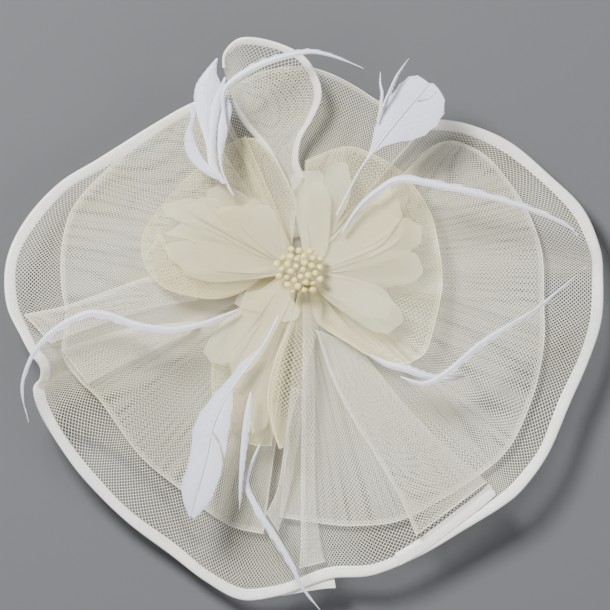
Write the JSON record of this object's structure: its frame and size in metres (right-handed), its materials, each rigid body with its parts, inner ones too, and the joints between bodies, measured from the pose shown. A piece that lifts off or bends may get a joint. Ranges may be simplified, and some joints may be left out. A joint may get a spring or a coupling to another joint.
{
  "type": "fascinator headpiece",
  "caption": "Saucer fascinator: waved crinoline-net brim with satin-bound rolled edge, gathered net loops, organza flower with stamens, curled feathers, felt base and sprung hair clip",
  "frame": {"origin": "between the closed jaws of the hair clip, under the middle of the flower", "axes": "+Z away from the head along the flower's axis, +X across the widest part of the brim, +Y towards the rolled-up end of the brim"},
  "size_m": [0.3595, 0.3429, 0.0664],
  "materials": {
    "crin_ivory": "matte",
    "crin_cream": "matte",
    "satin": "satin",
    "wire": "matte",
    "felt": "matte",
    "thread": "matte",
    "organza": "satin",
    "stamen": "satin",
    "feather": "satin",
    "steel": "satin"
  },
  "bodies": {
    "headpiece": {"felt_base": "felt", "base_stitches": "thread", "brim_net": "crin_ivory", "curl_net": "crin_ivory", "curl_side_binding": "satin", "brim_wire": "wire", "curl_wire": "wire", "brim_binding": "satin", "curl_binding": "satin", "binding_joint": "satin", "binding_tail": "satin", "layer_left": "crin_ivory", "layer_right": "crin_ivory", "top_fold": "crin_ivory", "loop_left": "crin_cream", "band_left": "crin_cream", "loop_right": "crin_cream", "band_right": "crin_cream", "loop_top": "crin_cream", "loop_bottom": "crin_cream", "loop_front": "crin_cream", "tail_left_upper": "crin_ivory", "tail_left_lower": "crin_ivory", "tail_right": "crin_ivory", "tail_bottom_a": "crin_ivory", "tail_bottom_b": "crin_ivory", "petals_left": "organza", "petals_right": "organza", "petals_bottom": "organza", "flower_base": "organza", "stamen_stems": "thread", "stamen_heads": "stamen", "goose_upper": "feather", "goose_lower": "feather", "hackle_bunch": "feather", "biots_upper": "feather", "biot_right": "feather", "biots_lower_right": "feather", "biot_left": "feather", "biots_bottom": "feather", "biot_top": "feather", "clip_pad": "felt", "clip_arm": "steel", "clip_pin": "steel", "clip_spring": "steel"},
    "jaw": {"clip_jaw": "steel"}
  },
  "joints": [
    {"name": "jaw_hinge", "type": "hinge", "parent": "headpiece", "child": "jaw", "pos_m": [0.018, 0, -0.002], "axis": [0, -1, 0], "range_deg": [0, 30], "stiffness_Nm_per_rad": 0.02, "springref_deg": -20.05, "deforming": ["clip_spring"]}
  ]
}
